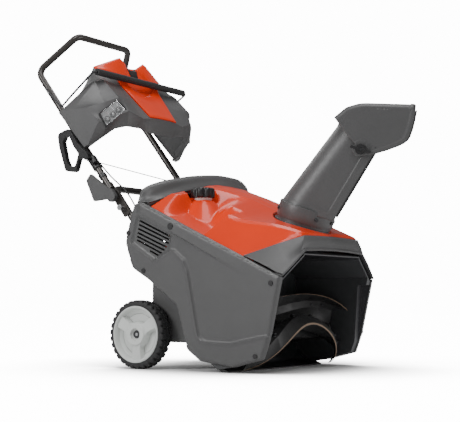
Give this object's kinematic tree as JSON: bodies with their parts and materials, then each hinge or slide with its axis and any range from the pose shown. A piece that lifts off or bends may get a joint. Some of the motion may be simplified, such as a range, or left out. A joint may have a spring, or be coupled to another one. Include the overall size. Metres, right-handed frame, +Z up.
{
  "type": "single stage snowblower",
  "caption": "Walk-behind single stage snow thrower: open auger scoop, turning chute with tilting deflector, hooded engine, folding tube handle with light console.",
  "frame": {"origin": "on the ground under the centre of the machine's bounding box", "axes": "+Z up, +Y towards the operator behind the handle, so the scoop opens towards -Y; +X is to the operator's left and -X to the operator's right"},
  "size_m": [0.566, 1.2492, 1.089],
  "materials": {
    "tyre": "matt, ribbed",
    "rim_plastic": "satin light grey",
    "bare_steel": "bright",
    "black_steel": "semi-gloss black paint",
    "tube_paint": "dark bronze-grey satin paint",
    "grey_plastic": "fine-grained dark grey",
    "orange_plastic": "gloss orange",
    "black_plastic": "satin black",
    "black_rubber": "matt",
    "paddle_rubber": "black with a tan wear edge",
    "foam": "matt foam",
    "clear_lens": "clear",
    "reflector": "bright",
    "cast_aluminium": "as cast",
    "tank_plastic": "off-white translucent",
    "galvanised": "dull"
  },
  "bodies": {
    "chassis": {"auger_housing": "black_steel", "scraper_bar": "black_plastic", "scraper_bolts": "bare_steel", "side_panel_right": "grey_plastic", "side_panel_left": "grey_plastic", "panel_screws": "black_plastic", "hood": "orange_plastic", "front_lip": "grey_plastic", "rear_shroud": "grey_plastic", "rear_cover": "grey_plastic", "lower_housing": "grey_plastic", "chute_ring": "grey_plastic", "wheel_axle": "bare_steel", "wheel_bolts": "bare_steel", "auger_bearings": "bare_steel", "drive_belt": "black_rubber", "engine_block": "cast_aluminium", "recoil_housing": "black_plastic", "muffler": "galvanised", "fuel_tank": "tank_plastic", "lower_handle": "tube_paint", "fold_bolts": "bare_steel", "starter_rope": "black_rubber", "bail_cable": "black_rubber"},
    "wheel_right": {"tyre_right": "tyre", "rim_right": "rim_plastic"},
    "wheel_left": {"tyre_left": "tyre", "rim_left": "rim_plastic"},
    "auger": {"auger_shaft": "bare_steel", "auger_carrier": "black_steel", "paddle_a": "paddle_rubber", "paddle_b": "paddle_rubber", "auger_pulley": "galvanised"},
    "crank": {"crankshaft": "bare_steel", "drive_pulley": "galvanised"},
    "idler_arm": {"idler_arm": "galvanised"},
    "idler_pulley": {"idler_pulley": "black_plastic"},
    "chute": {"chute": "grey_plastic", "chute_screws": "black_steel", "deflector_studs": "bare_steel"},
    "deflector": {"deflector": "grey_plastic"},
    "deflector_knob_right": {"deflector_knob_right": "black_plastic"},
    "deflector_knob_left": {"deflector_knob_left": "black_plastic"},
    "handle": {"upper_handle": "tube_paint", "fold_bracket_right": "tube_paint", "fold_bracket_left": "tube_paint", "console_housing": "grey_plastic", "console_cover": "orange_plastic", "headlight_lenses": "clear_lens", "headlight_reflectors": "reflector", "rope_guide": "black_plastic"},
    "fold_lever_right": {"fold_lever_right": "grey_plastic"},
    "fold_lever_left": {"fold_lever_left": "grey_plastic"},
    "bail": {"bail_rod": "black_steel", "bail_grip": "foam"},
    "starter_grip": {"starter_grip": "black_plastic"},
    "fuel_cap": {"fuel_cap": "black_plastic"},
    "choke_knob": {"choke_knob": "black_plastic"},
    "primer_bulb": {"primer_bulb": "black_rubber"},
    "ignition_key": {"ignition_key": "orange_plastic"}
  },
  "joints": [
    {"name": "wheel_right_spin", "type": "hinge", "parent": "chassis", "child": "wheel_right", "pos_m": [-0.256, 0.144, 0.102], "axis": [1, 0, 0], "continuous": true},
    {"name": "wheel_left_spin", "type": "hinge", "parent": "chassis", "child": "wheel_left", "pos_m": [0.256, 0.144, 0.102], "axis": [1, 0, 0], "continuous": true},
    {"name": "auger_spin", "type": "hinge", "parent": "chassis", "child": "auger", "pos_m": [0, -0.201, 0.114], "axis": [1, 0, 0], "continuous": true},
    {"name": "crank_spin", "type": "hinge", "parent": "chassis", "child": "crank", "pos_m": [0.252, 0.036, 0.262], "axis": [1, 0, 0], "continuous": true},
    {"name": "idler_swing", "type": "hinge", "parent": "chassis", "child": "idler_arm", "pos_m": [0.2335, -0.006, 0.268], "axis": [1, 0, 0], "range_deg": [0, 5]},
    {"name": "idler_spin", "type": "hinge", "parent": "idler_arm", "child": "idler_pulley", "pos_m": [0.2525, -0.071, 0.2896], "axis": [1, 0, 0], "continuous": true},
    {"name": "chute_turn", "type": "hinge", "parent": "chassis", "child": "chute", "pos_m": [0, -0.277, 0.45], "axis": [0, -0.342, 0.9397], "range_deg": [-124.5, 75.5]},
    {"name": "deflector_tilt", "type": "hinge", "parent": "chute", "child": "deflector", "pos_m": [0.04271, -0.44819, 0.64629], "axis": [0.91, 0.3897, 0.1418], "range_deg": [-6, 36]},
    {"name": "knob_right_turn", "type": "hinge", "parent": "chute", "child": "deflector_knob_right", "pos_m": [-0.02917, -0.47897, 0.63508], "axis": [0.91, 0.3897, 0.1418], "continuous": true},
    {"name": "knob_left_turn", "type": "hinge", "parent": "chute", "child": "deflector_knob_left", "pos_m": [0.1146, -0.4174, 0.65749], "axis": [0.91, 0.3897, 0.1418], "continuous": true},
    {"name": "handle_fold", "type": "hinge", "parent": "chassis", "child": "handle", "pos_m": [0, 0.25474, 0.4882], "axis": [-1, 0, 0], "range_deg": [0, 85], "deforming": ["starter_rope", "bail_cable"]},
    {"name": "fold_lever_right_turn", "type": "hinge", "parent": "handle", "child": "fold_lever_right", "pos_m": [-0.225, 0.28498, 0.52676], "axis": [-1, 0, 0], "range_deg": [0, 90]},
    {"name": "fold_lever_left_turn", "type": "hinge", "parent": "handle", "child": "fold_lever_left", "pos_m": [0.225, 0.28498, 0.52676], "axis": [-1, 0, 0], "range_deg": [0, 90]},
    {"name": "bail_swing", "type": "hinge", "parent": "handle", "child": "bail", "pos_m": [0, 0.57252, 0.89347], "axis": [-1, 0, 0], "range_deg": [0, 58], "stiffness_Nm_per_rad": 1, "springref_deg": -51.57},
    {"name": "starter_pull", "type": "slide", "parent": "handle", "child": "starter_grip", "axis": [0, 0.9, 0.436], "range_m": [0, 0.4], "stiffness_N_per_m": 15, "springref_m": -0.3},
    {"name": "fuel_cap_turn", "type": "hinge", "parent": "chassis", "child": "fuel_cap", "pos_m": [-0.1, 0.028, 0.53], "axis": [0, 0, 1], "range_deg": [0, 350]},
    {"name": "choke_turn", "type": "hinge", "parent": "chassis", "child": "choke_knob", "pos_m": [-0.15, 0.192, 0.372], "axis": [0, 1, 0], "range_deg": [0, 90]},
    {"name": "primer_press", "type": "slide", "parent": "chassis", "child": "primer_bulb", "axis": [0, -1, 0], "range_m": [0, 0.008], "stiffness_N_per_m": 500, "springref_m": -0.001},
    {"name": "key_turn", "type": "hinge", "parent": "chassis", "child": "ignition_key", "pos_m": [-0.055, 0.195, 0.372], "axis": [0, 1, 0], "range_deg": [0, 90]}
  ],
  "couplings": [
    {"joint": "crank_spin", "follows": "auger_spin", "ratio": 2.2707},
    {"joint": "idler_swing", "follows": "bail_swing", "ratio": 0.085}
  ]
}
